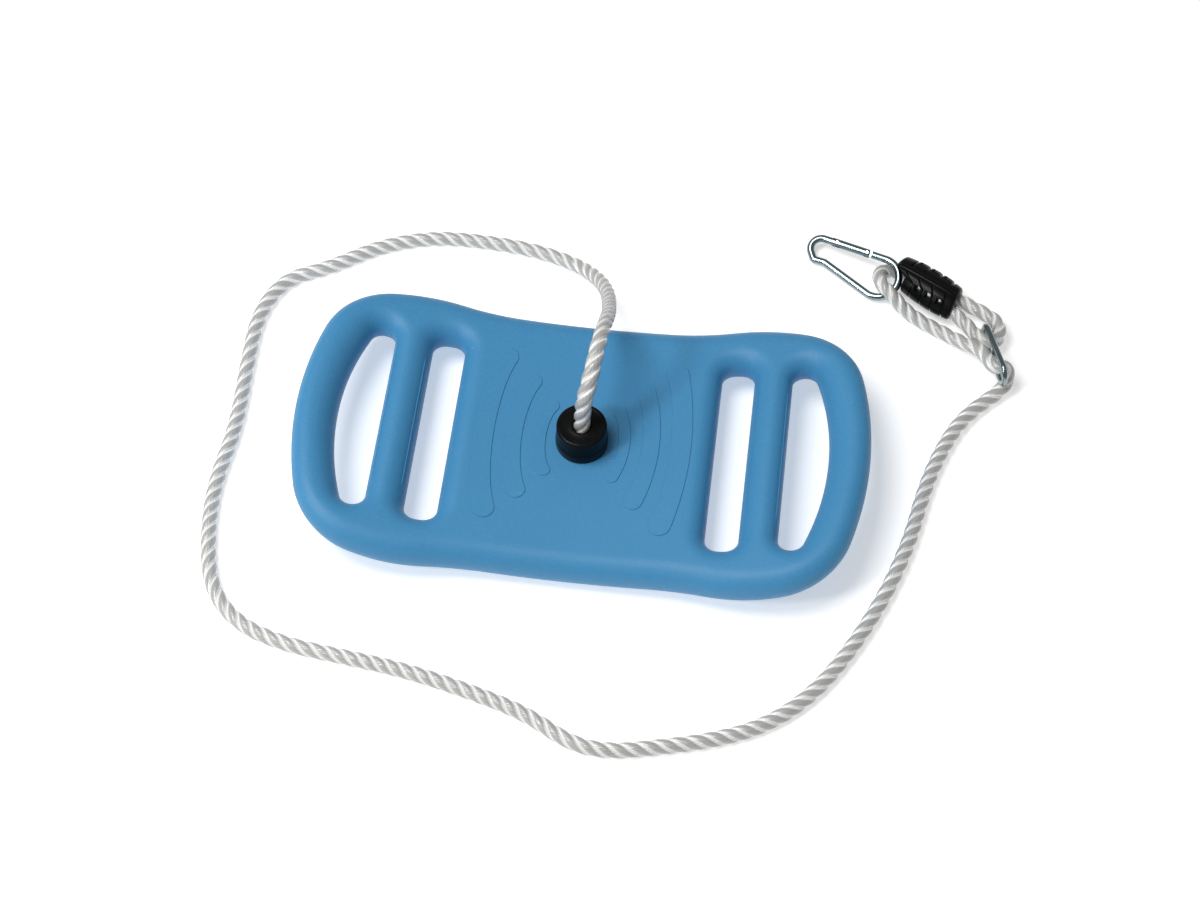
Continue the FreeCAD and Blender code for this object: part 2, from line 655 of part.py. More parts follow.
for item in doc.Objects:
    if "Invalid" in item.State or "Error" in item.State:
        raise RuntimeError(item.Name + " failed")
os.makedirs("parts", exist_ok=True)
for label, item in parts.items():
    item.Label = label
    if item.Shape.isNull() or not item.Shape.isValid():
        raise RuntimeError(label + " has no valid shape")
    item.Shape.exportStep(f"parts/{label}.step")
    print(label, "volume", round(item.Shape.Volume), "solids", len(item.Shape.Solids))
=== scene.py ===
import math

import bmesh
import bpy
import numpy as np
from mathutils import Matrix, Vector
from mathutils.geometry import delaunay_2d_cdt


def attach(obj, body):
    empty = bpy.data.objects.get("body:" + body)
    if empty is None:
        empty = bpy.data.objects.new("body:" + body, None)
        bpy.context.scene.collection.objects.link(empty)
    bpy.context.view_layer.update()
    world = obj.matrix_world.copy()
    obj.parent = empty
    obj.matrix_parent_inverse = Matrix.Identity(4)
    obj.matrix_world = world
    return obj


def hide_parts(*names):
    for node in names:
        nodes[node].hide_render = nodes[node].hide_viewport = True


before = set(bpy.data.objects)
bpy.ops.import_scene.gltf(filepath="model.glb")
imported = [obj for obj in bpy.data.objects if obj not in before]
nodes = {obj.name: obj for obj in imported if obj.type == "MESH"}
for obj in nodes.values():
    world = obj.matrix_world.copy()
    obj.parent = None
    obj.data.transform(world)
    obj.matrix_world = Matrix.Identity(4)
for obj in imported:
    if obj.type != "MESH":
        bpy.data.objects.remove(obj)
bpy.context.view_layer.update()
scene = bpy.context.scene

MM = 0.001
ROPE_RADIUS = 6.0 * MM
ROPE_LAY = 0.037

# Route of the rope from the collar, round the board, to its end in the barrel, in metres.
ROUTE = [
    (0, 0, 0.04), (0, 0, 0.082), (0.005, 0.015, 0.104), (0.008, 0.042, 0.112), (0.01, 0.069, 0.101),
    (0.0105, 0.093, 0.08), (0.008, 0.116, 0.059), (0.004, 0.141, 0.039), (-0.007, 0.167, 0.02),
    (-0.027, 0.188, 0.007), (-0.062, 0.199, 0.006), (-0.102, 0.203, 0.006), (-0.15, 0.203, 0.006),
    (-0.196, 0.188, 0.006), (-0.236, 0.16, 0.006), (-0.27, 0.145, 0.006), (-0.286, 0.108, 0.006),
    (-0.285, 0.054, 0.006), (-0.282, -0.004, 0.006), (-0.289, -0.058, 0.006),
    (-0.285, -0.104, 0.006), (-0.273, -0.151, 0.006), (-0.246, -0.179, 0.006),
    (-0.207, -0.192, 0.006), (-0.16, -0.197, 0.006), (-0.11, -0.203, 0.006), (-0.06, -0.214, 0.006),
    (-0.015, -0.227, 0.006), (0.022, -0.248, 0.006), (0.052, -0.251, 0.006), (0.088, -0.243, 0.006),
    (0.126, -0.233, 0.006), (0.164, -0.217, 0.006), (0.196, -0.19, 0.006), (0.222, -0.152, 0.006),
    (0.248, -0.098, 0.006), (0.265, -0.046, 0.006), (0.275, 0.008, 0.006), (0.288, 0.048, 0.006),
    (0.304, 0.079, 0.006), (0.3372, 0.1106, 0.0062), (0.3345, 0.1193, 0.0225),
    (0.3231, 0.1165, 0.0215), (0.3135, 0.1363, 0.0175), (0.299, 0.1448, 0.011),
    (0.281, 0.156, 0.0075), (0.263, 0.165, 0.007), (0.249, 0.173, 0.01), (0.237, 0.182, 0.0175),
    (0.225, 0.1935, 0.019), (0.227, 0.2125, 0.009), (0.242, 0.2135, 0.0062), (0.259, 0.2096, 0.012),
    (0.2965, 0.1848, 0.012), (0.316, 0.176, 0.012), (0.3285, 0.1665, 0.012), (0.3265, 0.1475, 0.012),
    (0.3125, 0.1495, 0.012), (0.302, 0.1615, 0.012), (0.2872, 0.176, 0.012),
    (0.2563, 0.1964, 0.012),
]

# Route of the stopper knot under the board, from inside the bush to its short tail.
KNOT_ROUTE = [
    (0, 0, 0.041), (0, 0, 0.024), (0.004, 0.003, 0.0165), (0.0105, -0.001, 0.0145),
    (0.0085, -0.0095, 0.0125), (-0.001, -0.0115, 0.0105), (-0.0105, -0.006, 0.0088),
    (-0.0105, 0.006, 0.0076), (-0.001, 0.0115, 0.0076), (0.0095, 0.0085, 0.009),
    (0.0115, -0.002, 0.0095), (0.0098, -0.014, 0.0108), (0.0108, -0.0187, 0.0111)]


# ---- camera, light and floor

def set_camera():
    data = bpy.data.cameras.new("camera")
    data.lens = 72.0
    data.sensor_width = 36.0
    camera = bpy.data.objects.new("camera", data)
    scene.collection.objects.link(camera)
    camera.location = (0.1334, -0.9784, 1.6630)
    camera.rotation_euler = (math.radians(31.0), 0.0, math.radians(6.93))
    scene.camera = camera


def soft_light(name, place, target, size, power):
    data = bpy.data.lights.new(name, "AREA")
    data.shape = "DISK"
    data.size = size
    data.energy = power
    lamp = bpy.data.objects.new(name, data)
    scene.collection.objects.link(lamp)
    lamp.location = place
    lamp.rotation_euler = (Vector(target) - Vector(place)).to_track_quat("-Z", "Y").to_euler()


def light_the_studio():
    scene.view_settings.view_transform = "Standard"
    world = bpy.data.worlds.new("studio")
    scene.world = world
    world.use_nodes = True
    backdrop = world.node_tree.nodes["Background"]
    backdrop.inputs["Color"].default_value = (1.0, 1.0, 1.0, 1.0)
    backdrop.inputs["Strength"].default_value = 0.25
    soft_light("overhead_light", (-0.8, -0.1, 2.2), (0.1, 0, 0), 1.2, 34.0)
    soft_light("key_light", (-1.2, -0.9, 1.4), (0, 0, 0), 0.35, 11.0)


def lay_floor():
    mesh = bpy.data.meshes.new("floor")
    reach = 6.0
    mesh.from_pydata([(-reach, -reach, 0), (reach, -reach, 0), (reach, reach, 0), (-reach, reach, 0)],
                     [], [(0, 1, 2, 3)])
    floor = bpy.data.objects.new("floor", mesh)
    scene.collection.objects.link(floor)
    floor.location.z = -0.0005
    mesh.materials.append(floor_paper())


# ---- shared shader effects

def effect(name, inputs, outputs):
    """An empty node group with its sockets, ready to be filled."""
    group = bpy.data.node_groups.new(name, "ShaderNodeTree")
    for label, kind, value in inputs:
        socket = group.interface.new_socket(label, in_out="INPUT", socket_type="NodeSocket" + kind)
        socket.default_value = value
    for label, kind in outputs:
        group.interface.new_socket(label, in_out="OUTPUT", socket_type="NodeSocket" + kind)
    return group, group.nodes.new("NodeGroupInput"), group.nodes.new("NodeGroupOutput")


def maths(tree, operation, first, second=None):
    node = tree.nodes.new("ShaderNodeMath")
    node.operation = operation
    for socket, value in zip(node.inputs, (first, second)):
        if isinstance(value, (int, float)):
            socket.default_value = value
        elif value is not None:
            tree.links.new(value, socket)
    return node.outputs[0]


def object_noise(tree, scale, detail, roughness=0.5):
    """Noise fixed to the piece, in its own metres."""
    place = tree.nodes.new("ShaderNodeTexCoord")
    noise = tree.nodes.new("ShaderNodeTexNoise")
    noise.inputs["Detail"].default_value = detail
    noise.inputs["Roughness"].default_value = roughness
    tree.links.new(place.outputs["Object"], noise.inputs["Vector"])
    tree.links.new(scale, noise.inputs["Scale"])
    return noise.outputs["Fac"]


def build_tone_drift():
    """Colour that wanders a little lighter and darker over the surface."""
    group, ins, outs = effect(
        "tone_drift",
        [("Color", "Color", (0.5, 0.5, 0.5, 1.0)), ("Scale", "Float", 20.0), ("Amount", "Float", 0.1)],
        [("Color", "Color")])
    noise = object_noise(group, ins.outputs["Scale"], 4.0)
    swing = maths(group, "MULTIPLY", maths(group, "SUBTRACT", noise, 0.5), ins.outputs["Amount"])
    tint = group.nodes.new("ShaderNodeHueSaturation")
    group.links.new(ins.outputs["Color"], tint.inputs["Color"])
    group.links.new(maths(group, "ADD", swing, 1.0), tint.inputs["Value"])
    group.links.new(tint.outputs["Color"], outs.inputs["Color"])
    return group


def build_gloss_drift():
    """Roughness that varies in patches."""
    group, ins, outs = effect(
        "gloss_drift",
        [("Roughness", "Float", 0.4), ("Scale", "Float", 60.0), ("Spread", "Float", 0.1)],
        [("Roughness", "Float")])
    noise = object_noise(group, ins.outputs["Scale"], 5.0, 0.6)
    swing = maths(group, "MULTIPLY", maths(group, "SUBTRACT", noise, 0.5), ins.outputs["Spread"])
    group.links.new(maths(group, "ADD", swing, ins.outputs["Roughness"]), outs.inputs["Roughness"])
    return group


def build_moulded_grain():
    """Fine relief of a sand-blasted mould or of a plated wire."""
    group, ins, outs = effect(
        "moulded_grain",
        [("Scale", "Float", 1500.0), ("Depth", "Float", 0.3), ("Coarse Scale", "Float", 300.0),
         ("Coarse Share", "Float", 0.3)],
        [("Normal", "Vector"), ("Relief", "Float")])
    fine = object_noise(group, ins.outputs["Scale"], 2.0, 0.6)
    coarse = object_noise(group, ins.outputs["Coarse Scale"], 3.0)
    relief = maths(group, "ADD", fine, maths(group, "MULTIPLY", coarse, ins.outputs["Coarse Share"]))
    bump = group.nodes.new("ShaderNodeBump")
    bump.inputs["Distance"].default_value = 0.0002
    group.links.new(ins.outputs["Depth"], bump.inputs["Strength"])
    group.links.new(relief, bump.inputs["Height"])
    group.links.new(bump.outputs["Normal"], outs.inputs["Normal"])
    group.links.new(relief, outs.inputs["Relief"])
    return group


def build_hair_scuffs():
    """A mask of short thin rub marks, 0 on clean surface and 1 on a mark."""
    group, ins, outs = effect(
        "hair_scuffs",
        [("Scale", "Float", 60.0), ("Coverage", "Float", 0.1)],
        [("Mask", "Float")])
    place = group.nodes.new("ShaderNodeTexCoord")
    stretch = group.nodes.new("ShaderNodeMapping")
    stretch.inputs["Scale"].default_value = (1.0, 9.0, 4.0)
    stretch.inputs["Rotation"].default_value = (0.2, 0.1, 0.7)
    noise = group.nodes.new("ShaderNodeTexNoise")
    noise.inputs["Detail"].default_value = 6.0
    group.links.new(place.outputs["Object"], stretch.inputs["Vector"])
    group.links.new(stretch.outputs["Vector"], noise.inputs["Vector"])
    group.links.new(ins.outputs["Scale"], noise.inputs["Scale"])
    level = group.nodes.new("ShaderNodeMapRange")
    group.links.new(noise.outputs["Fac"], level.inputs["Value"])
    group.links.new(maths(group, "SUBTRACT", 0.72, ins.outputs["Coverage"]), level.inputs["From Min"])
    group.links.new(maths(group, "SUBTRACT", 0.76, ins.outputs["Coverage"]), level.inputs["From Max"])
    group.links.new(level.outputs["Result"], outs.inputs["Mask"])
    return group


TONE_DRIFT = build_tone_drift()
GLOSS_DRIFT = build_gloss_drift()
MOULDED_GRAIN = build_moulded_grain()
HAIR_SCUFFS = build_hair_scuffs()


def use(tree, group, **values):
    """Place a shared effect in a material with its own values."""
    node = tree.nodes.new("ShaderNodeGroup")
    node.node_tree = group
    for name, value in values.items():
        socket = node.inputs[name.replace("_", " ")]
        if isinstance(value, bpy.types.NodeSocket):
            tree.links.new(value, socket)
        else:
            socket.default_value = value
    return node.outputs


def new_finish(name, **settings):
    """A material with its Principled shader's plain settings."""
    material = bpy.data.materials.new(name)
    material.use_nodes = True
    shader = material.node_tree.nodes["Principled BSDF"]
    for socket, value in settings.items():
        shader.inputs[socket.replace("_", " ")].default_value = value
    return material, material.node_tree, shader


def mix_colour(tree, mask, first, second):
    node = tree.nodes.new("ShaderNodeMix")
    node.data_type = "RGBA"
    tree.links.new(mask, node.inputs["Factor"])
    for socket, value in ((node.inputs["A"], first), (node.inputs["B"], second)):
        if isinstance(value, bpy.types.NodeSocket):
            tree.links.new(value, socket)
        else:
            socket.default_value = value
    return node.outputs["Result"]


# ---- finishes

def floor_paper():
    material, tree, shader = new_finish("floor_paper", Roughness=0.9, Specular_IOR_Level=0.1)
    colour = use(tree, TONE_DRIFT, Color=(0.93, 0.93, 0.93, 1.0), Scale=3.0, Amount=0.02)
    tree.links.new(colour["Color"], shader.inputs["Base Color"])
    shader.inputs["Emission Color"].default_value = (1.0, 1.0, 1.0, 1.0)
    shader.inputs["Emission Strength"].default_value = 0.40
    return material


def seat_plastic():
    material, tree, shader = new_finish("seat_plastic", IOR=1.5, Specular_IOR_Level=0.35)
    scuffs = use(tree, HAIR_SCUFFS, Scale=55.0, Coverage=0.02)
    grain = use(tree, MOULDED_GRAIN, Scale=1300.0, Depth=0.55, Coarse_Scale=420.0, Coarse_Share=0.5)
    drift = use(tree, TONE_DRIFT, Color=(0.050, 0.248, 0.478, 1.0), Scale=9.0, Amount=0.10)
    # Painted sparkle: lighter specks on the grain's high points stand in for glints in the highlights.
    painted_sparkle = tree.nodes.new("ShaderNodeMapRange")
    painted_sparkle.inputs["From Min"].default_value = 0.72
    painted_sparkle.inputs["From Max"].default_value = 1.05
    painted_sparkle.inputs["To Max"].default_value = 0.16
    tree.links.new(grain["Relief"], painted_sparkle.inputs["Value"])
    with_painted_sparkle = mix_colour(tree, painted_sparkle.outputs["Result"], drift["Color"], (0.20, 0.45, 0.68, 1.0))
    rubbed = mix_colour(tree, maths(tree, "MULTIPLY", scuffs["Mask"], 0.12), with_painted_sparkle,
                        (0.35, 0.55, 0.72, 1.0))
    gloss = use(tree, GLOSS_DRIFT, Roughness=0.47, Scale=38.0, Spread=0.14)
    tree.links.new(rubbed, shader.inputs["Base Color"])
    tree.links.new(gloss["Roughness"], shader.inputs["Roughness"])
    tree.links.new(grain["Normal"], shader.inputs["Normal"])
    return material


def black_plastic(name, roughness, depth):
    material, tree, shader = new_finish(name, IOR=1.5, Specular_IOR_Level=0.14)
    scuffs = use(tree, HAIR_SCUFFS, Scale=180.0, Coverage=0.05)
    drift = use(tree, TONE_DRIFT, Color=(0.0028, 0.0032, 0.0030, 1.0), Scale=70.0, Amount=0.4)
    rubbed = mix_colour(tree, maths(tree, "MULTIPLY", scuffs["Mask"], 0.3), drift["Color"],
                        (0.010, 0.010, 0.010, 1.0))
    gloss = use(tree, GLOSS_DRIFT, Roughness=roughness, Scale=240.0, Spread=0.16)
    grain = use(tree, MOULDED_GRAIN, Scale=2600.0, Depth=depth, Coarse_Scale=500.0, Coarse_Share=0.4)
    tree.links.new(rubbed, shader.inputs["Base Color"])
    tree.links.new(gloss["Roughness"], shader.inputs["Roughness"])
    tree.links.new(grain["Normal"], shader.inputs["Normal"])
    return material


def zinc_plate(name, tint, roughness):
    material, tree, shader = new_finish(name, Metallic=1.0)
    scuffs = use(tree, HAIR_SCUFFS, Scale=210.0, Coverage=0.1)
    drift = use(tree, TONE_DRIFT, Color=(*tint, 1.0), Scale=160.0, Amount=0.35)
    rubbed = mix_colour(tree, maths(tree, "MULTIPLY", scuffs["Mask"], 0.25), drift["Color"],
                        (0.62, 0.66, 0.67, 1.0))
    gloss = use(tree, GLOSS_DRIFT, Roughness=roughness, Scale=420.0, Spread=0.10)
    grain = use(tree, MOULDED_GRAIN, Scale=3200.0, Depth=0.03, Coarse_Scale=500.0, Coarse_Share=1.2)
    tree.links.new(rubbed, shader.inputs["Base Color"])
    tree.links.new(gloss["Roughness"], shader.inputs["Roughness"])
    tree.links.new(grain["Normal"], shader.inputs["Normal"])
    return material


def rope_fibre():
    """Silky fibre: yarns wound in each strand, fine filaments, painted shade between the yarns and a painted
    highlight down each strand's flanks.
    """
    material, tree, shader = new_finish(
        "rope_fibre", IOR=1.55, Specular_IOR_Level=0.8, Subsurface_Weight=0.12,
        Subsurface_Scale=0.002)
    shader.inputs["Subsurface Radius"].default_value = (1.0, 1.0, 1.0)
    wound = tree.nodes.new("ShaderNodeUVMap")
    wound.uv_map = "yarns"
    split = tree.nodes.new("ShaderNodeSeparateXYZ")
    tree.links.new(wound.outputs["UV"], split.inputs["Vector"])
    turns = maths(tree, "MULTIPLY", split.outputs["Y"], 2 / ROPE_LAY)
    winding = maths(tree, "ADD", split.outputs["X"], turns)
    yarn = maths(tree, "ABSOLUTE", maths(tree, "SINE", maths(tree, "MULTIPLY", winding, math.pi * 9)))
    stretch = tree.nodes.new("ShaderNodeCombineXYZ")
    tree.links.new(maths(tree, "MULTIPLY", winding, 60.0), stretch.inputs["X"])
    tree.links.new(maths(tree, "MULTIPLY", split.outputs["Y"], 120.0), stretch.inputs["Y"])
    filament = tree.nodes.new("ShaderNodeTexNoise")
    filament.inputs["Scale"].default_value = 1.0
    filament.inputs["Detail"].default_value = 4.0
    filament.inputs["Roughness"].default_value = 0.65
    tree.links.new(stretch.outputs["Vector"], filament.inputs["Vector"])
    relief = maths(tree, "ADD", maths(tree, "POWER", yarn, 0.6),
                   maths(tree, "MULTIPLY", filament.outputs["Fac"], 0.8))
    bump = tree.nodes.new("ShaderNodeBump")
    bump.inputs["Strength"].default_value = 0.55
    bump.inputs["Distance"].default_value = 0.0003
    tree.links.new(relief, bump.inputs["Height"])
    drift = use(tree, TONE_DRIFT, Color=(0.45, 0.45, 0.435, 1.0), Scale=120.0, Amount=0.22)
    # Painted shade: darker colour in the gaps between yarns, where shade falls.
    gap = tree.nodes.new("ShaderNodeMapRange")
    gap.inputs["From Max"].default_value = 0.5
    gap.inputs["To Min"].default_value = 0.45
    gap.inputs["To Max"].default_value = 0.0
    tree.links.new(yarn, gap.inputs["Value"])
    shaded = mix_colour(tree, gap.outputs["Result"], drift["Color"], (0.34, 0.34, 0.325, 1.0))
    # Painted highlight: near-white colour down each strand's flanks stands in for the fibre's glints.
    flank = tree.nodes.new("ShaderNodeMapRange")
    flank.inputs["From Min"].default_value = 0.145
    flank.inputs["From Max"].default_value = 0.215
    off_crest = maths(tree, "ABSOLUTE", maths(tree, "SUBTRACT", split.outputs["X"], 0.5))
    uneven = maths(tree, "MULTIPLY", maths(tree, "SUBTRACT", filament.outputs["Fac"], 0.5), 0.22)
    tree.links.new(maths(tree, "ADD", off_crest, uneven), flank.inputs["Value"])
    with_painted_glints = mix_colour(tree, flank.outputs["Result"], shaded, (0.92, 0.92, 0.90, 1.0))
    gloss = use(tree, GLOSS_DRIFT, Roughness=0.19, Scale=500.0, Spread=0.16)
    tree.links.new(with_painted_glints, shader.inputs["Base Color"])
    tree.links.new(gloss["Roughness"], shader.inputs["Roughness"])
    tree.links.new(bump.outputs["Normal"], shader.inputs["Normal"])
    return material


def melted_fibre():
    material, tree, shader = new_finish("melted_fibre", IOR=1.5, Coat_Weight=0.3)
    drift = use(tree, TONE_DRIFT, Color=(0.90, 0.89, 0.86, 1.0), Scale=260.0, Amount=0.5)
    gloss = use(tree, GLOSS_DRIFT, Roughness=0.3, Scale=400.0, Spread=0.2)
    grain = use(tree, MOULDED_GRAIN, Scale=700.0, Depth=0.7, Coarse_Scale=260.0, Coarse_Share=1.0)
    tree.links.new(drift["Color"], shader.inputs["Base Color"])
    tree.links.new(gloss["Roughness"], shader.inputs["Roughness"])
    tree.links.new(grain["Normal"], shader.inputs["Normal"])
    return material


SEAT_PLASTIC = seat_plastic()
COLLAR_PLASTIC = black_plastic("collar_plastic", 0.32, 0.12)
BARREL_PLASTIC = black_plastic("barrel_plastic", 0.30, 0.16)
ZINC = zinc_plate("zinc_plate", (0.25, 0.31, 0.325), 0.16)
RIVET_STEEL = zinc_plate("rivet_steel", (0.60, 0.61, 0.60), 0.3)
ROPE_FIBRE = rope_fibre()
MELTED_FIBRE = melted_fibre()


# ---- helpers for pieces

def add_piece(name, vertices, faces, material, body, replaced=(), smooth=40.0):
    """A mesh piece on a body; edges sharper than the smooth angle stay sharp."""
    mesh = bpy.data.meshes.new(name)
    mesh.from_pydata([tuple(v) for v in np.asarray(vertices, float)], [], faces)
    mesh.materials.append(material)
    mesh.shade_smooth()
    shape = bmesh.new()
    shape.from_mesh(mesh)
    for edge in shape.edges:
        if len(edge.link_faces) == 2 and edge.calc_face_angle() > math.radians(smooth):
            edge.smooth = False
    shape.to_mesh(mesh)
    shape.free()
    piece = bpy.data.objects.new(name, mesh)
    scene.collection.objects.link(piece)
    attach(piece, body)
    if replaced:
        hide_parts(*replaced)
    return piece


def grid_faces(rows, columns):
    """Faces of a grid whose rows close round, as on a tube."""
    faces = []
    for i in range(rows - 1):
        for j in range(columns):
            k = (j + 1) % columns
            faces.append((i * columns + j, i * columns + k, (i + 1) * columns + k, (i + 1) * columns + j))
    return faces


# ---- rope

def smooth_line(route, name):
    """Points along the NURBS line that a route's points make."""
    curve = bpy.data.curves.new(name, "CURVE")
    curve.dimensions = "3D"
    curve.resolution_u = 24
    spline = curve.splines.new("NURBS")
    spline.points.add(len(route) - 1)
    for point, place in zip(spline.points, route):
        point.co = (*place, 1.0)
    spline.order_u = 3
    spline.use_endpoint_u = True
    holder = bpy.data.objects.new(name, curve)
    mesh = bpy.data.meshes.new_from_object(holder)
    line = np.array([vertex.co[:] for vertex in mesh.vertices])
    bpy.data.objects.remove(holder)
    bpy.data.meshes.remove(mesh)
    bpy.data.curves.remove(curve)
    return line


def evenly(line, step):
    """The same line with points an even step apart, and how far along each one is."""
    along = np.concatenate([[0.0], np.cumsum(np.linalg.norm(np.diff(line, axis=0), axis=1))])
    places = np.linspace(0.0, along[-1], int(round(along[-1] / step)) + 1)
    return places, np.column_stack([np.interp(places, along, line[:, k]) for k in range(3)])


def carried_frames(line):
    """Two side directions at each point of a line, carried along it without twist."""
    tangent = np.gradient(line, axis=0)
    tangent /= np.linalg.norm(tangent, axis=1, keepdims=True)
    side = np.cross(tangent[0], (0.3, 0.9, 0.2))
    sides = []
    for way in tangent:
        side = side - way * side.dot(way)
        side /= np.linalg.norm(side)
        sides.append(side)
    sides = np.array(sides)
    return sides, np.cross(tangent, sides)


def laid_rope(name, line, lay, swelling, replaced, around=14):
    """Three strands laid right-handed round a line; swelling is a factor along the rope."""
    places, line = evenly(line, 0.00125)
    side, up = carried_frames(line)
    pitch = lay * (1 + 0.07 * np.sin(places * 23.0) + 0.05 * np.sin(places * 61.0 + 1.0))
    turn = np.concatenate([[0.0], np.cumsum(2 * math.pi * np.diff(places) / pitch[1:])])
    swell = swelling(places)
    angles = np.linspace(math.pi, 3 * math.pi, around, endpoint=False)
    vertices, faces = [], []
    rings = len(line)
    for strand in range(3):
        phase = (turn + strand * 2 * math.pi / 3)[:, None]
        outward = np.cos(phase) * side + np.sin(phase) * up
        across = np.cos(phase) * up - np.sin(phase) * side
        wobble = 1 + 0.03 * np.sin(places * 140.0 + strand * 2.1)
        centre = line + outward * (0.475 * ROPE_RADIUS * swell)[:, None]
        radius = (0.525 * ROPE_RADIUS * swell * wobble)[:, None, None]
        ring = (np.cos(angles)[None, :, None] * outward[:, None, :]
                + 1.20 * np.sin(angles)[None, :, None] * across[:, None, :])
        base = strand * rings * around
        vertices.append((centre[:, None, :] + radius * ring).reshape(-1, 3))
        faces += [tuple(base + k for k in face) for face in grid_faces(rings, around)]
        faces.append(tuple(base + k for k in reversed(range(around))))
        faces.append(tuple(base + (rings - 1) * around + k for k in range(around)))
    piece = add_piece(name, np.vstack(vertices), faces, ROPE_FIBRE, "seat", replaced, 80.0)
    layer = piece.data.uv_layers.new(name="yarns")
    corner = np.zeros(len(piece.data.loops), int)
    piece.data.loops.foreach_get("vertex_index", corner)
    ring_of = (corner // around) % rings
    spot = corner % around
    first = np.zeros(len(piece.data.loops), int)
    for face in piece.data.polygons:
        spots = spot[face.loop_start:face.loop_start + face.loop_total]
        if spots.max() - spots.min() > around // 2:
            first[face.loop_start:face.loop_start + face.loop_total] = np.where(spots < 2, around, 0)
    uv = np.column_stack([(spot + first) / around, places[ring_of]])
    layer.data.foreach_set("uv", uv.astype(np.float32).ravel())
    return piece, line


def make_rope():
    line = smooth_line(ROUTE, "rope_line")

    def swelling(along):
        """A little fuller just above the collar."""
        return 1.0 + 0.14 * np.exp(-((along - 0.045) / 0.05) ** 2)

    rope, line = laid_rope("rope", line, ROPE_LAY, swelling, (
        "rope_rise", "rope_left", "rope_right", "rope_through_adjuster", "rope_hook_bight",
        "rope_return_loop"))
    pieces = [nodes[name] for name in (
        "adjuster_ring", "rope_end_seal", "hook_frame", "hook_gate", "hinge_rivet", "latch_rivet")]
    return rope, line[::4], pieces


def make_stopper_knot():
    line = smooth_line(KNOT_ROUTE, "knot_line")

    def squeeze(along):
        """Tighter once the rope is past the bush."""
        return 1.0 - 0.10 * np.clip((along - 0.02) / 0.01, 0, 1)

    laid_rope("stopper_knot", line, 0.9 * ROPE_LAY, squeeze, ("rope_knot", "rope_in_seat", "rope_tail"))


# ---- seat board

# Sizes of the board in millimetres; its belly touches the ground at height 0.
HALF_LENGTH, HALF_THICK, SWEEP = 227.8, 16.4, 800.0
SWEEP_CENTRE = HALF_THICK + SWEEP
GRIP_INNER, SLOT_OUTER = 162.0, 131.5
BORE_RADIUS, RECESS_RADIUS, RECESS_CEILING = 9.0, 27.0, 26.0
MARK_RISE = 0.75


def arc_points(cx, cy, radius, start, end, step=2.4):
    count = max(2, math.ceil(abs(radius * (end - start)) / step))
    turns = np.linspace(start, end, count + 1)
    return [(cx + radius * math.cos(t), cy + radius * math.sin(t)) for t in turns]


def line_points(start, end, step=2.4):
    count = max(1, math.ceil(math.dist(start, end) / step))
    return [tuple(np.array(start) + (np.array(end) - np.array(start)) * i / count) for i in range(count + 1)]


def join(*stretches):
    """One closed loop from stretches that meet end to end."""
    loop = []
    for stretch in stretches:
        for point in stretch:
            if not loop or math.dist(point, loop[-1]) > 0.05:
                loop.append(point)
    if math.dist(loop[0], loop[-1]) < 0.05:
        loop.pop()
    return np.array(loop)


def board_outline():
    """Bowed ends, round corners, then a shallow waist along both long sides."""
    turns = [math.radians(t) for t in (0.0, 15.3, 78.5, 98.6, 90.0)]
    x, y = HALF_LENGTH, 0.0
    quarter = []
    for radius, start, end in zip((275.0, 64.0, 167.0, -330.0), turns, turns[1:]):
        cx, cy = x - radius * math.cos(start), y - radius * math.sin(start)
        quarter += arc_points(cx, cy, radius, start, end)
        x, y = quarter[-1]
    quarter += line_points((x, y), (0.0, y))
    back = [(-px, py) for px, py in reversed(quarter)]
    front = [(px, -py) for px, py in reversed(quarter + back)]
    return join(quarter, back, front)


def grip_outline(side):
    """D-shaped hand hole: straight inside, bowed outside."""
    cx, cy, corner, outer = 172.0, 72.0, 10.0, 195.5
    reach = outer - corner - cx
    bow = (cy ** 2 + reach ** 2) / (2 * reach) + corner
    bx = outer - bow
    lean = math.atan2(cy, cx - bx)
    loop = join(arc_points(bx, 0, bow, -lean, lean),
                arc_points(cx, cy, corner, lean, math.pi),
                line_points((GRIP_INNER, cy), (GRIP_INNER, -cy)),
                arc_points(cx, -cy, corner, math.pi, 2 * math.pi - lean))
    return loop * (side, 1)


def slot_outline(side):
    """Long slot with rounded corners."""
    low, high, top, corner = 105.5, SLOT_OUTER, 84.0, 11.0
    half = math.pi / 2
    loop = join(arc_points(high - corner, top - corner, corner, 0, half),
                line_points((high - corner, top), (low + corner, top)),
                arc_points(low + corner, top - corner, corner, half, 2 * half),
                line_points((low, top - corner), (low, corner - top)),
                arc_points(low + corner, corner - top, corner, 2 * half, 3 * half),
                line_points((low + corner, -top), (high - corner, -top)),
                arc_points(high - corner, corner - top, corner, 3 * half, 4 * half),
                line_points((high, corner - top), (high, top - corner)))
    return loop * (side, 1)


def round_end(first, last):
    """Half circle from one rail of a band to the other."""
    middle = (np.array(first) + np.array(last)) / 2
    arm = np.array(first) - middle
    turned = np.array([-arm[1], arm[0]])
    turns = np.linspace(0, math.pi, 15)[1:-1]
    return [tuple(middle + arm * math.cos(t) + turned * math.sin(t)) for t in turns]


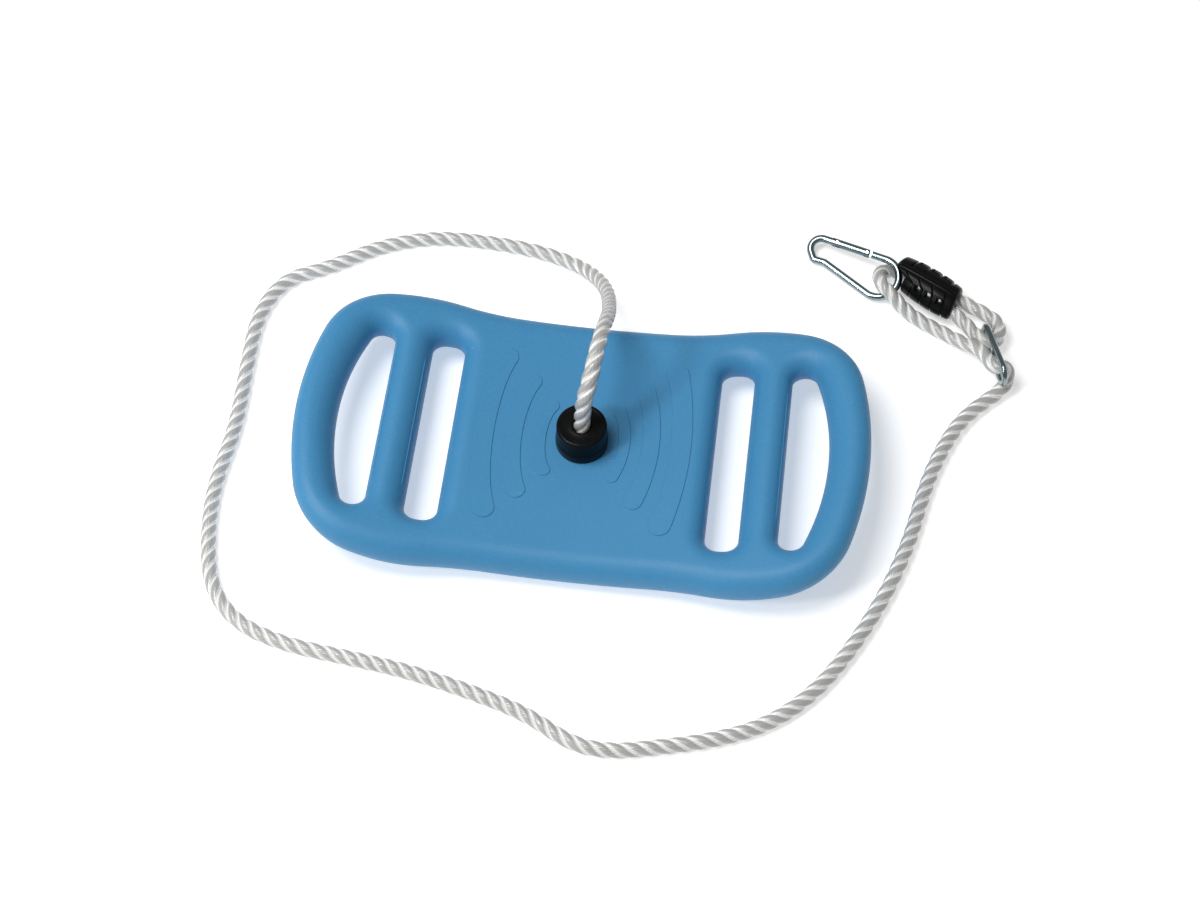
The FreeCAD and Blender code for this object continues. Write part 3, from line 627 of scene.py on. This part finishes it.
def band_outline(side, mid_x, end_x, end_y, half_width, end_half):
    """One of the raised arc-shaped marks: a bowed band with rounder, wider ends."""
    sagitta = mid_x - end_x
    radius = (end_y ** 2 + sagitta ** 2) / (2 * sagitta)
    cx = mid_x - radius
    lean = math.asin(end_y / radius)
    outer, inner = [], []
    for t in np.linspace(-1, 1, max(24, int(2 * end_y / 1.6))):
        width = half_width + (end_half - half_width) * max(0.0, (abs(t) - 0.62) / 0.38) ** 2
        a = lean * t
        shift = end_half - half_width if abs(t) > 0.62 else 0.0
        shift *= max(0.0, (abs(t) - 0.62) / 0.38) ** 2
        for rail, offset in ((outer, width - shift), (inner, -width - shift)):
            rail.append((cx + (radius + offset) * math.cos(a), (radius + offset) * math.sin(a)))
    loop = np.array(outer + round_end(outer[-1], inner[-1]) + inner[::-1] + round_end(inner[0], outer[0]))
    return loop * (side, 1)


# Each raised mark's middle x, end x, end y, half width and half width at its ends.
BANDS = [(78.6, 70.0, 70.6, 8.2, 9.0), (54.8, 46.9, 50.6, 6.9, 7.6), (33.6, 27.8, 30.0, 4.7, 5.4)]


def inside(points, loop):
    """Which points lie in a closed loop."""
    x, y = points[:, 0], points[:, 1]
    result = np.zeros(len(points), bool)
    for (x1, y1), (x2, y2) in zip(loop, np.roll(loop, -1, axis=0)):
        crosses = (y1 > y) != (y2 > y)
        if y1 != y2:
            result ^= crosses & (x < (x2 - x1) * (y - y1) / (y2 - y1) + x1)
    return result


def left_way(loop):
    """The direction to the left of travel at each point of a closed loop."""
    ahead = np.roll(loop, -1, axis=0) - np.roll(loop, 1, axis=0)
    ahead /= np.linalg.norm(ahead, axis=1, keepdims=True)
    return np.column_stack([-ahead[:, 1], ahead[:, 0]])


def turned_to(loop, counterclockwise):
    area = np.sum(loop[:, 0] * np.roll(loop[:, 1], -1) - np.roll(loop[:, 0], -1) * loop[:, 1])
    return loop if (area > 0) == counterclockwise else loop[::-1]


def rim_distance(points, loops):
    """How far each point is from the nearest edge of the board or of its holes."""
    best = np.full(len(points), 1e9)
    for loop in loops:
        run = np.roll(loop, -1, axis=0) - loop
        length2 = (run ** 2).sum(1)
        for first in range(0, len(points), 1500):
            part = points[first:first + 1500, None, :] - loop[None]
            t = np.clip((part * run[None]).sum(2) / length2[None], 0, 1)
            gap = np.sqrt(((part - t[..., None] * run[None]) ** 2).sum(2)).min(1)
            best[first:first + 1500] = np.minimum(best[first:first + 1500], gap)
    return best


def board_height(x, rise):
    """Height of the curved board at x, a given rise above its middle surface."""
    return SWEEP_CENTRE - np.sqrt((SWEEP - rise) ** 2 - x ** 2)


def board_points(loops, bands, bore, recess):
    """Points of the board's plan: rows beside each edge, rows beside each mark, then a grid."""
    rows = []
    for degrees in range(10, 91, 10):
        depth = HALF_THICK * (1 - math.cos(math.radians(degrees)))
        for loop in loops:
            row = loop + left_way(loop) * depth
            far = rim_distance(row, loops)
            rows.append((row[far > 0.985 * depth], 0.1 if depth < 5 else 0.9))
    marks = []
    for band in bands:
        for shift in (-1.1, -0.2, 0.2, 1.1):
            marks.append((band + left_way(band) * shift, 0.1))
    rings = [(recess * share, 0.01) for share in (1.0, 26.92 / RECESS_RADIUS, 0.8, 0.6)]
    step = 5.5
    xs, ys = np.meshgrid(np.arange(-230, 231, step), np.arange(-125, 126, step))
    xs = xs + (np.arange(len(ys))[:, None] % 2) * step / 2
    grid = np.column_stack([xs.ravel(), ys.ravel()])
    keep = inside(grid, loops[0])
    for loop in loops[1:]:
        keep &= ~inside(grid, loop)
    grid = grid[keep]
    grid = grid[rim_distance(grid, loops) > HALF_THICK + 1.5]
    spaced = {}
    points = []
    for group, gap in [(np.vstack(loops + [bore]), 0.0)] + rings + marks + rows + [(grid, 2.2)]:
        for x, y in group:
            cell = (int(x // 3), int(y // 3))
            around = [(cell[0] + i, cell[1] + j) for i in (-1, 0, 1) for j in (-1, 0, 1)]
            near = [spot for place in around for spot in spaced.get(place, ())]
            if gap and any((x - a) ** 2 + (y - b) ** 2 < gap * gap for a, b in near):
                continue
            spaced.setdefault(cell, []).append((x, y))
            points.append((x, y))
    return points


def make_board():
    loops = [turned_to(board_outline(), True)]
    for side in (1, -1):
        loops += [turned_to(grip_outline(side), False), turned_to(slot_outline(side), False)]
    bands = [turned_to(band_outline(side, *shape), True) for side in (1, -1) for shape in BANDS]
    circle = np.array([(math.cos(t), math.sin(t)) for t in np.linspace(0, 2 * math.pi, 72, endpoint=False)])
    bore, recess = circle * BORE_RADIUS, circle * RECESS_RADIUS
    points = board_points(loops, bands, bore, recess)
    edges, start = [], 0
    for loop in loops + [bore]:
        edges += [(start + i, start + (i + 1) % len(loop)) for i in range(len(loop))]
        start += len(loop)
    plan, _, triangles, _, _, _ = delaunay_2d_cdt([Vector(p) for p in points], edges, [], 0, 1e-5)
    plan = np.array([p[:] for p in plan])
    triangles = np.array(triangles)
    centres = plan[triangles].mean(1)
    keep = inside(centres, loops[0]) & (np.hypot(centres[:, 0], centres[:, 1]) > BORE_RADIUS - 0.01)
    for loop in loops[1:]:
        keep &= ~inside(centres, loop)
    triangles = triangles[keep]
    a, b, c = (plan[triangles[:, k]] for k in range(3))
    flipped = (b - a)[:, 0] * (c - a)[:, 1] - (b - a)[:, 1] * (c - a)[:, 0] < 0
    triangles[flipped] = triangles[flipped][:, ::-1]
    depth = rim_distance(plan, loops)
    inward = np.clip(HALF_THICK - depth, 0, HALF_THICK)
    rise = np.sqrt(np.clip(HALF_THICK ** 2 - inward ** 2, 0, None))
    on_rim = depth < 1e-3
    rise[on_rim] = 0.0
    top = board_height(plan[:, 0], rise)
    low = board_height(plan[:, 0], -rise)
    raised = np.zeros(len(plan), bool)
    for band in bands:
        raised |= inside(plan, band)
    top[raised] += MARK_RISE
    from_middle = np.hypot(plan[:, 0], plan[:, 1])
    low[from_middle < RECESS_RADIUS - 0.05] = RECESS_CEILING
    count = len(plan)
    lower_index = np.arange(count) + count
    lower_index[on_rim] = np.arange(count)[on_rim]
    vertices = np.vstack([np.column_stack([plan, top]), np.column_stack([plan, low])]) * MM
    faces = [tuple(t) for t in triangles] + [tuple(lower_index[t[::-1]]) for t in triangles]
    ring = np.where(np.abs(from_middle - BORE_RADIUS) < 0.01)[0]
    ring = ring[np.argsort(np.arctan2(plan[ring, 1], plan[ring, 0]))]
    faces += [(p, q, q + count, p + count) for p, q in zip(ring, np.roll(ring, -1))]
    used = np.zeros(2 * count, bool)
    for face in faces:
        used[list(face)] = True
    order = np.cumsum(used) - 1
    faces = [tuple(int(order[k]) for k in face) for face in faces]
    return add_piece("seat_board_skin", vertices[used], faces, SEAT_PLASTIC, "seat",
                     ("seat_board",), 46.0)


def make_bar_ridges():
    """Thin raised lines down both flanks of each grip bar."""
    vertices, faces = [], []
    around, depth, first_y, last_y = 10, 3.4, -61, 62
    rise = math.sqrt(HALF_THICK ** 2 - (HALF_THICK - depth) ** 2)
    ys = np.linspace(first_y, last_y, 83)
    for side in (1, -1):
        for edge, inward in ((SLOT_OUTER, 1), (GRIP_INNER, -1)):
            x = side * (edge + inward * depth)
            height = float(board_height(np.array(x), rise))
            base = len(vertices)
            for y in ys:
                fade = min(1.0, (y - first_y) / 6 + 0.02, (last_y - y) / 6 + 0.02)
                for t in np.linspace(0, 2 * math.pi, around, endpoint=False):
                    across, up = 0.62 * math.cos(t) * fade, 0.75 * math.sin(t) * fade
                    vertices.append((x + across, y, height - 0.25 + up))
            faces += [tuple(base + k for k in face[::-1]) for face in grid_faces(len(ys), around)]
            faces.append(tuple(base + k for k in range(around)))
            faces.append(tuple(base + (len(ys) - 1) * around + k for k in reversed(range(around))))
    return add_piece("bar_ridges", np.array(vertices) * MM, faces, SEAT_PLASTIC, "seat")


# ---- collar

def turned_piece(name, profile, material, replaced, height, sides=96, smooth=40.0):
    """A ring turned about the Z axis from a closed profile of radius and height, in millimetres."""
    turns = np.linspace(0, 2 * math.pi, sides, endpoint=False)
    vertices = [(r * math.cos(t), r * math.sin(t), z + height) for t in turns for r, z in profile]
    count = len(profile)
    faces = []
    for i in range(sides):
        for j in range(count):
            k, n = (j + 1) % count, (i + 1) % sides
            faces.append((i * count + j, n * count + j, n * count + k, i * count + k))
    return add_piece(name, np.array(vertices) * MM, faces, material, "seat", replaced, smooth)


def rounded_corner(cx, cz, radius, start, end, count=6):
    return [(cx + radius * math.cos(math.radians(t)), cz + radius * math.sin(math.radians(t)))
            for t in np.linspace(start, end, count)]


def make_collar():
    profile = ([(9.1, 0.0)] + rounded_corner(20.2, 0.7, 0.7, -90, 0)
               + [(20.9, 7.6), (20.8, 8.8), (20.45, 10.0), (20.15, 11.4)]
               + rounded_corner(18.0, 23.0, 2.0, 0, 82, 7)
               + [(17.2, 24.9), (16.6, 24.72), (10.6, 24.72), (9.9, 24.95)]
               + rounded_corner(8.3, 23.9, 1.1, 80, 180, 6) + [(7.2, 19.0), (9.1, 19.0)])
    return turned_piece("rope_collar", profile, COLLAR_PLASTIC, ("top_collar",), 33.1)


# ---- clamp barrel

def ease(value):
    value = np.clip(value, 0.0, 1.0)
    return value * value * (3 - 2 * value)


# Sizes in millimetres, along the barrel, across it and up.
BARREL_HALF, BARREL_WIDE, BARREL_TALL = 23.0, 18.0, 13.4
GROOVES = (-13.4, -3.6, 6.2, 16.0)
WINDOWS = (-8.5, 1.3, 11.1)
UPPER_WINDOW_TURNS = (42, 138)
BARREL_PLACE = (Matrix.Translation((271.4 * MM, 193.9 * MM, 13.5 * MM))
                @ Matrix.Rotation(math.radians(-33.4), 4, "Z"))


def leaned(points):
    """Barrel points, its back drawn out towards the hook and its far end slanted."""
    x, y, z = np.asarray(points, float).T
    from_far = np.clip((BARREL_HALF - x) / (2 * BARREL_HALF), 0, 1)
    pull = np.clip((y + 2.2 * np.maximum(z - 4.0, 0)) / 14.0, 0, 1) * from_far
    slant = 0.2 * y * (1 - from_far)
    return np.column_stack([x - 12.5 * pull - slant, y - 4.5 * pull, z])


def barrel_in_place(points):
    return np.array([(BARREL_PLACE @ Vector(point * MM))[:] for point in leaned(points)])


def patch(distance, reach, fade=0.5):
    """1 within the reach and 0 past its faded edge."""
    return 1 - ease((distance - reach) / fade)


def barrel_relief(x, a):
    """How deep the barrel's skin is cut at a place along it and a turn round it."""
    cut = 1.6 * (1 - np.sqrt(ease((BARREL_HALF - np.abs(x)) / 1.6)))
    from_ridge = np.abs(a % math.pi - math.pi / 2) * 15.0
    above = a < math.pi
    for groove in GROOVES:
        cut += 1.1 * (1 - patch(from_ridge, 2.6)) * patch(np.abs(x - groove), 0.55, 0.45)
    for turn in UPPER_WINDOW_TURNS + (222, 318):
        across = np.abs((a - math.radians(turn) + math.pi) % (2 * math.pi) - math.pi) * 16.0
        for middle in WINDOWS:
            window = patch(np.abs(x - middle), 2.1) * patch(across, 2.4)
            lip = patch(np.abs(x - middle), 3.2) * patch(across, 3.5) - window
            cut += 3.4 * window - 0.35 * np.clip(lip, 0, 1) * above
    cut -= 0.8 * above * patch(from_ridge, 0.9) * ease((BARREL_HALF - 1.5 - np.abs(x)) / 1.0)
    return cut


def make_barrel():
    """Two clamped half shells: ribs, windows on both shoulders and a parting ridge."""
    along = np.linspace(-BARREL_HALF, BARREL_HALF, 150)
    turns = np.linspace(0, 2 * math.pi, 220, endpoint=False)
    x, a = np.meshgrid(along, turns, indexing="ij")
    share = np.abs(x / BARREL_HALF)
    wide = BARREL_WIDE - 3.0 * np.where(x < 0, share ** 3 * 0.5, share ** 2)
    tall = BARREL_TALL - 2.0 * share ** 3
    cut = barrel_relief(x, a)
    vertices = np.stack([x, (wide - cut) * np.cos(a), (tall - cut) * np.sin(a)], axis=2).reshape(-1, 3)
    rings, around = len(along), len(turns)
    faces = [face[::-1] for face in grid_faces(rings, around)]
    for row, sign in ((0, -1), (rings - 1, 1)):
        rim = vertices[row * around:(row + 1) * around]
        outer = row * around
        for inset, sink in ((0.86, 0.0), (0.845, 1.2), (0.5, 1.2), (0.1, 1.2)):
            inner = len(vertices)
            vertices = np.vstack([vertices, rim * (1, inset, inset) - (sign * sink, 0, 0)])
            for k in range(around):
                n = (k + 1) % around
                face = (outer + k, outer + n, inner + n, inner + k)
                faces.append(face if sign > 0 else face[::-1])
            outer = inner
        last = tuple(outer + k for k in range(around))
        faces.append(last if sign > 0 else last[::-1])
    return add_piece("clamp_barrel", barrel_in_place(vertices), faces, BARREL_PLASTIC, "seat",
                     ("barrel_front_half", "barrel_back_half"), 50.0)


def make_rope_in_windows():
    """Domes of melted rope that show in the upper windows."""
    domes, faces = [], []
    around, rings = 20, (0.05, 0.35, 0.65, 0.9, 1.0)
    for turn in UPPER_WINDOW_TURNS:
        tilt = math.radians(turn)
        out = np.array([0.0, math.cos(tilt), math.sin(tilt)])
        over = np.array([0.0, -math.sin(tilt), math.cos(tilt)])
        for middle in WINDOWS:
            base = len(domes)
            grow = 1.0 - 0.0035 * middle * middle / 4
            centre = np.array([middle, 13.2 * grow * math.cos(tilt), 9.6 * grow * math.sin(tilt)])
            for ring in rings:
                lift = 1.9 * math.sqrt(1 - ring * ring)
                for t in np.linspace(0, 2 * math.pi, around, endpoint=False):
                    flat = 2.0 * math.cos(t) * np.array([1.0, 0, 0]) + 1.9 * math.sin(t) * over
                    domes.append(centre + ring * flat + out * lift)
            rows = grid_faces(len(rings), around)
            faces += [tuple(base + k for k in (face[0], face[3], face[2], face[1])) for face in rows]
            faces.append(tuple(base + k for k in range(around)))
            faces.append(tuple(base + (len(rings) - 1) * around + k for k in reversed(range(around))))
    return add_piece("rope_in_windows", barrel_in_place(domes), faces, MELTED_FIBRE, "seat")


# ---- pieces kept from the frame

def finish_kept_pieces():
    finishes = {
        "lower_bush": COLLAR_PLASTIC, "load_washer": ZINC, "adjuster_ring": ZINC, "hook_frame": ZINC,
        "hook_gate": ZINC, "hinge_rivet": RIVET_STEEL, "latch_rivet": RIVET_STEEL,
        "gate_spring": RIVET_STEEL, "gate_plunger": RIVET_STEEL, "rope_tail_seal": MELTED_FIBRE,
        "rope_end_seal": MELTED_FIBRE}
    for name, finish in finishes.items():
        piece = nodes[name]
        piece.data.materials.clear()
        piece.data.materials.append(finish)


# ---- the whole object

set_camera()
rope, rope_path, rope_pieces = make_rope()
make_stopper_knot()
make_board()
make_bar_ridges()
make_collar()
barrel = make_barrel()
glimpses = make_rope_in_windows()
finish_kept_pieces()
lay_floor()
light_the_studio()
